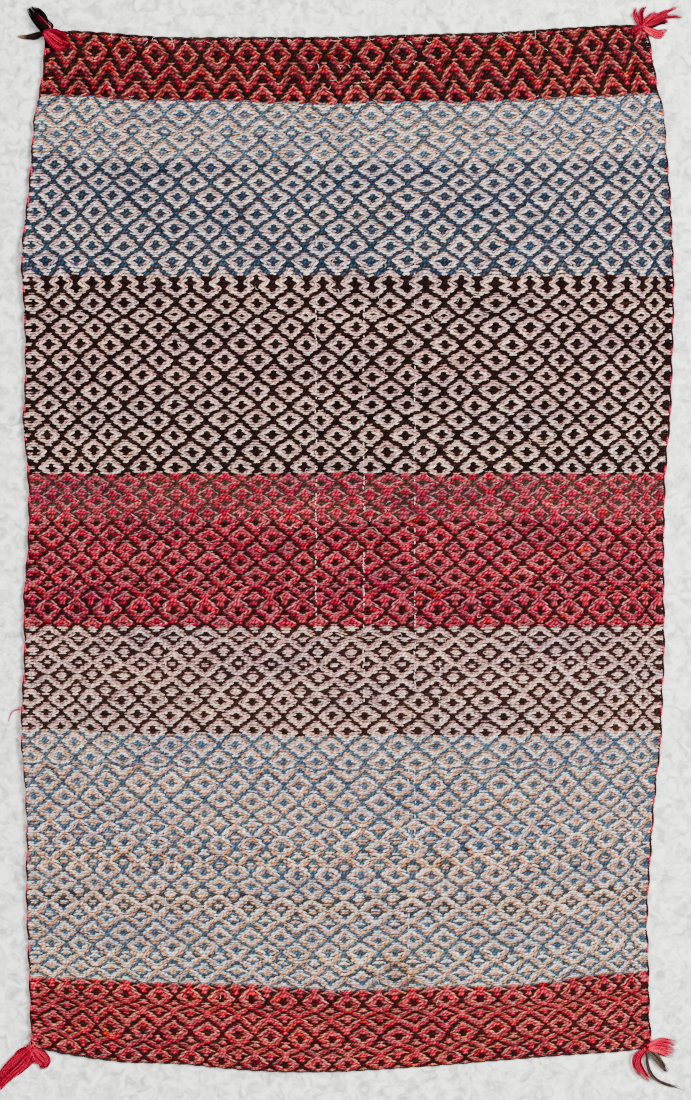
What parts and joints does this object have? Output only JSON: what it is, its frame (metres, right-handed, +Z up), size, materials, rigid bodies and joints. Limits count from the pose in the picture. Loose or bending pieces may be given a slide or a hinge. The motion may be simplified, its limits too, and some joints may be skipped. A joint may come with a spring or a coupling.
{
  "type": "saddle blanket",
  "caption": "Thick hand-woven wool saddle blanket in a banded diamond twill, lying flat, with twisted cords along its edges and a tassel at every corner",
  "frame": {"origin": "under the middle of the whole blanket, tassels included, on the surface that it lies on", "axes": "+X to the blanket's right and +Y towards its upper end as it lies in the picture, +Z up from the surface"},
  "size_m": [0.8632, 1.3492, 0.0092],
  "materials": {
    "wool_cloth": "matte woven wool in bands of red, blue, cream and brown",
    "wool_cord": "matte twisted wool, red and dark brown",
    "wool_dark": "matte loose wool, brown-black",
    "wool_red": "matte loose wool, red"
  },
  "bodies": {
    "root": {"blanket_cloth": "wool_cloth", "left_edge_cord": "wool_cord", "right_edge_cord": "wool_cord", "top_edge_cord": "wool_cord", "bottom_edge_cord": "wool_cord", "tassel_top_left": "wool_dark", "tassel_top_right": "wool_red", "tassel_bottom_left": "wool_red", "tassel_bottom_right": "wool_red", "loose_yarn_end": "wool_red"}
  },
  "joints": []
}
